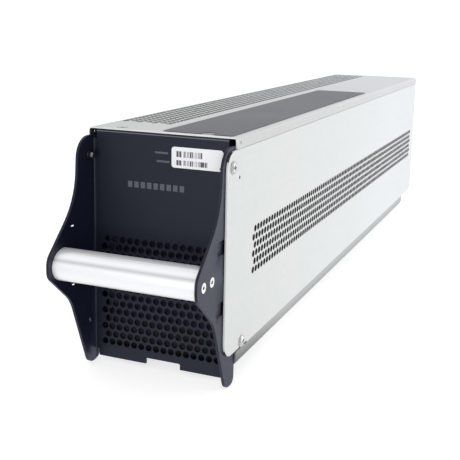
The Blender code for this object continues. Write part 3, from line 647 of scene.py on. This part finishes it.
def keep_with(node, shader, width):
    """A CAD node that stays, with its own material and, if width isn't 0, with softened edges."""
    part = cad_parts[node]
    part.data.materials.clear()
    part.data.materials.append(shader.material)
    weld = part.modifiers.new("weld", "WELD")
    weld.merge_threshold = WELD
    if width:
        bevel = part.modifiers.new("edge", "BEVEL")
        bevel.width = width * MM
        bevel.segments = 2
        bevel.limit_method = "ANGLE"
        bevel.angle_limit = math.radians(40)


def front_label_film():
    """White film with two rows of code bars and a small mark in its corner."""
    shader = moulded("front_label_film", FILM_WHITE, 0.4)
    low, high = node_box("front_label")
    across = others(1)
    strip = shader.math("FLOOR", shader.math("DIVIDE", shader.along(0), CODE_BAR))
    chance = shader.add("ShaderNodeTexWhiteNoise", noise_dimensions="1D")
    shader.feed(chance.inputs["W"], strip)
    inked = shader.math("GREATER_THAN", chance.outputs["Value"], CODE_BLANK)
    left = low.x + ROW_INSET
    rows = [
        shader.patch(across, (left, high.z - UPPER_ROW_DROP), UPPER_ROW),
        shader.patch(across, (left, low.z + LOWER_ROW_RISE), LOWER_ROW),
    ]
    mark = shader.patch(across, (high.x - MARK_INSET[0], low.z + MARK_INSET[1]), MARK)
    shader.paint(shader.both(inked, shader.either(rows)), CODE_INK)
    shader.paint(mark, MARK_INK)
    return shader


def top_label_film():
    """Dark grey film with faint rows of print, a little darker towards the front."""
    shader = moulded("top_label_film", FILM_GREY, 0.42)
    low = node_box("top_label")[0]
    fade = shader.ramp(shader.along(1), FILM_FRONT_SHARE, 1, low.y, low.y + FILM_FADE)
    shader.colour(shader.mix(fade, FILM_FRONT_GREY, shader.base()))
    rows = [
        shader.patch(
            (0, 1),
            (low.x + PRINT_START[0], low.y + PRINT_START[1] + k * PRINT_PITCH),
            (PRINT_ROW[0] - k * PRINT_SHORTER, PRINT_ROW[1]),
        )
        for k in range(PRINT_ROWS)
    ]
    shader.paint(shader.either(rows), ROW_INK)
    return shader


def kept_nodes():
    """The CAD nodes that stay: by the start of their names, the material and the softened edges' width."""
    zinc = plated("zinc_plate")
    dark_zinc = plated("dark_zinc", (0.03, 0.032, 0.04), (0.1, 0.105, 0.12))
    tinned = plated("tinned_copper", (0.6, 0.56, 0.5), (0.82, 0.79, 0.74))
    black = moulded("black_moulding", (0.012, 0.012, 0.014))
    grey_foam = foam("grey_foam", (0.02, 0.02, 0.023))
    finishes = {
        "handle_bar": (satin_aluminium("bar_aluminium"), 0.4),
        "front_retainer": (powder_coat("retainer_coat"), 0.2),
        "rear_panel": (galvanised("rear_zinc"), 0.15),
        "rear_screw": (zinc, 0.1),
        "shoulder_screw": (zinc, 0.1),
        "float_plate": (zinc, 0.1),
        "clinch_nut": (dark_zinc, 0.1),
        "plate_rivet": (dark_zinc, 0.1),
        "block_link": (tinned, 0.2),
        "power_contact": (tinned, 0.2),
        "battery_block": (moulded("block_case", (0.02, 0.02, 0.023), 0.55), 0.4),
        "top_pad": (grey_foam, 0),
        "end_pad": (grey_foam, 0),
        "bottom_liner": (foam("fibre_sheet", (0.012, 0.012, 0.014)), 0),
        "connector_housing": (black, 0.3),
        "signal_insert": (black, 0.3),
        "fuse_holder": (black, 0.3),
        "string_fuse": (moulded("fuse_body", (0.6, 0.58, 0.5)), 0.4),
        "monitor_board": (moulded("board_mask", (0.01, 0.12, 0.05), 0.35), 0),
        "lead_positive": (moulded("lead_positive_jacket", (0.4, 0.015, 0.015)), 0),
        "lead_fused": (moulded("lead_fused_jacket", (0.4, 0.015, 0.015)), 0),
        "lead_negative": (moulded("lead_negative_jacket", (0.015, 0.015, 0.015)), 0),
        "front_label": (front_label_film(), 0),
        "top_label": (top_label_film(), 0),
    }
    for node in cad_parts:
        for start, (shader, width) in finishes.items():
            if node.startswith(start):
                keep_with(node, shader, width)


# ---------------------------------------------------------------- stage, lights and camera


def floor():
    """Pale paper that glows by itself and neither lights nor shades the object."""
    sheet = bmesh.new()
    bmesh.ops.create_grid(sheet, x_segments=1, y_segments=1, size=FLOOR_HALF)
    plane = new_object(sheet, "floor")
    plane.location.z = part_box("front_bracket")[0].z - FLOOR_DROP
    shader = Shader("floor_paper", roughness=0.9)
    paper = shader.mix(shader.noise(3, 2), *FLOOR_GREYS)
    shader.colour(paper)
    shader.feed(shader.surface.inputs["Emission Color"], paper)
    shader.surface.inputs["Emission Strength"].default_value = FLOOR_GLOW
    plane.data.materials.append(shader.material)
    plane.visible_diffuse = False
    plane.visible_glossy = False
    plane.visible_shadow = False


def soft_box(name, spot, aim, size, power):
    light = bpy.data.lights.new(name, "AREA")
    light.shape = "RECTANGLE"
    light.size, light.size_y = size
    light.energy = power
    lamp = bpy.data.objects.new(name, light)
    lamp.location = Vector(spot)
    lamp.rotation_euler = (Vector(aim) - Vector(spot)).to_track_quat("-Z", "Y").to_euler()
    bpy.context.scene.collection.objects.link(lamp)


def sky():
    """Soft white surroundings, dimmer near the horizon. Seen directly they are plain white."""
    world = bpy.data.worlds.new("studio")
    world.use_nodes = True
    nodes, links = world.node_tree.nodes, world.node_tree.links
    height = nodes.new("ShaderNodeSeparateXYZ")
    links.new(nodes.new("ShaderNodeTexCoord").outputs["Generated"], height.inputs[0])
    steepness = nodes.new("ShaderNodeMath")
    steepness.operation = "ABSOLUTE"
    links.new(height.outputs["Z"], steepness.inputs[0])
    grade = nodes.new("ShaderNodeMapRange")
    grade.inputs["From Min"].default_value, grade.inputs["From Max"].default_value = SKY_HEIGHTS
    grade.inputs["To Min"].default_value = SKY_LEVEL
    grade.inputs["To Max"].default_value = SKY_STEEP
    links.new(steepness.outputs[0], grade.inputs["Value"])
    direct = nodes.new("ShaderNodeMix")
    links.new(nodes.new("ShaderNodeLightPath").outputs["Is Camera Ray"], direct.inputs["Factor"])
    links.new(grade.outputs["Result"], direct.inputs["A"])
    direct.inputs["B"].default_value = SKY_SEEN
    links.new(direct.outputs["Result"], nodes["Background"].inputs["Strength"])
    nodes["Background"].inputs["Color"].default_value = (1, 1, 1, 1)
    bpy.context.scene.world = world
    bpy.context.scene.view_settings.view_transform = "Standard"


def camera():
    data = bpy.data.cameras.new("camera")
    data.lens = CAMERA_LENS
    data.sensor_width = 36
    data.shift_y = CAMERA_SHIFT
    data.clip_end = 50
    viewer = bpy.data.objects.new("camera", data)
    azimuth, elevation = math.radians(CAMERA_AZIMUTH), math.radians(CAMERA_ELEVATION)
    back = Vector(
        (
            math.sin(azimuth) * math.cos(elevation),
            -math.cos(azimuth) * math.cos(elevation),
            math.sin(elevation),
        )
    )
    roll = Quaternion((0, 0, 1), math.radians(CAMERA_ROLL))
    viewer.rotation_mode = "QUATERNION"
    viewer.rotation_quaternion = (-back).to_track_quat("-Z", "Y") @ roll
    viewer.location = place(CAMERA_PLACE)
    bpy.context.scene.collection.objects.link(viewer)
    bpy.context.scene.camera = viewer


front_bracket()
case_wrap()
cover()
screws()
kept_nodes()
floor()
sky()
for name, settings in LIGHTS.items():
    soft_box(name, *settings)
camera()
